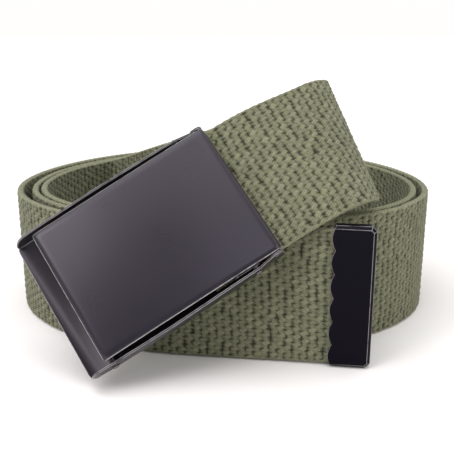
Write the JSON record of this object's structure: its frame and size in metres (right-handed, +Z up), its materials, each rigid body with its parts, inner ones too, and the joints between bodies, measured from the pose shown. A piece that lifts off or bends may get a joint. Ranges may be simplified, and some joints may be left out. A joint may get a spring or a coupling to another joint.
{
  "type": "web belt",
  "caption": "Rolled canvas web belt on its edge, folded over to a flip-top box buckle, with a crimped metal end tip.",
  "frame": {"origin": "under the middle of the belt's box, on the surface it stands on", "axes": "+X along the width seen from the front, -Y to the front, where the buckle and the tip are, +Z up"},
  "size_m": [0.1342, 0.1394, 0.0741],
  "materials": {
    "webbing": "olive cotton webbing, coarse basket weave",
    "tip_metal": "gloss black paint",
    "buckle_metal": "satin black paint",
    "cover_metal": "satin black paint, slightly warm"
  },
  "bodies": {
    "belt": {"strap": "webbing", "end_tip": "tip_metal", "buckle_frame": "buckle_metal", "hinge_pin": "buckle_metal", "strap_clamp": "buckle_metal", "front_bar": "buckle_metal"},
    "cover": {"buckle_cover": "cover_metal"}
  },
  "joints": [
    {"name": "cover_hinge", "type": "hinge", "parent": "belt", "child": "cover", "pos_m": [0.00381, -0.04975, 0.04784], "axis": [-0.5328, 0.4555, 0.7132], "range_deg": [0, 100]}
  ]
}
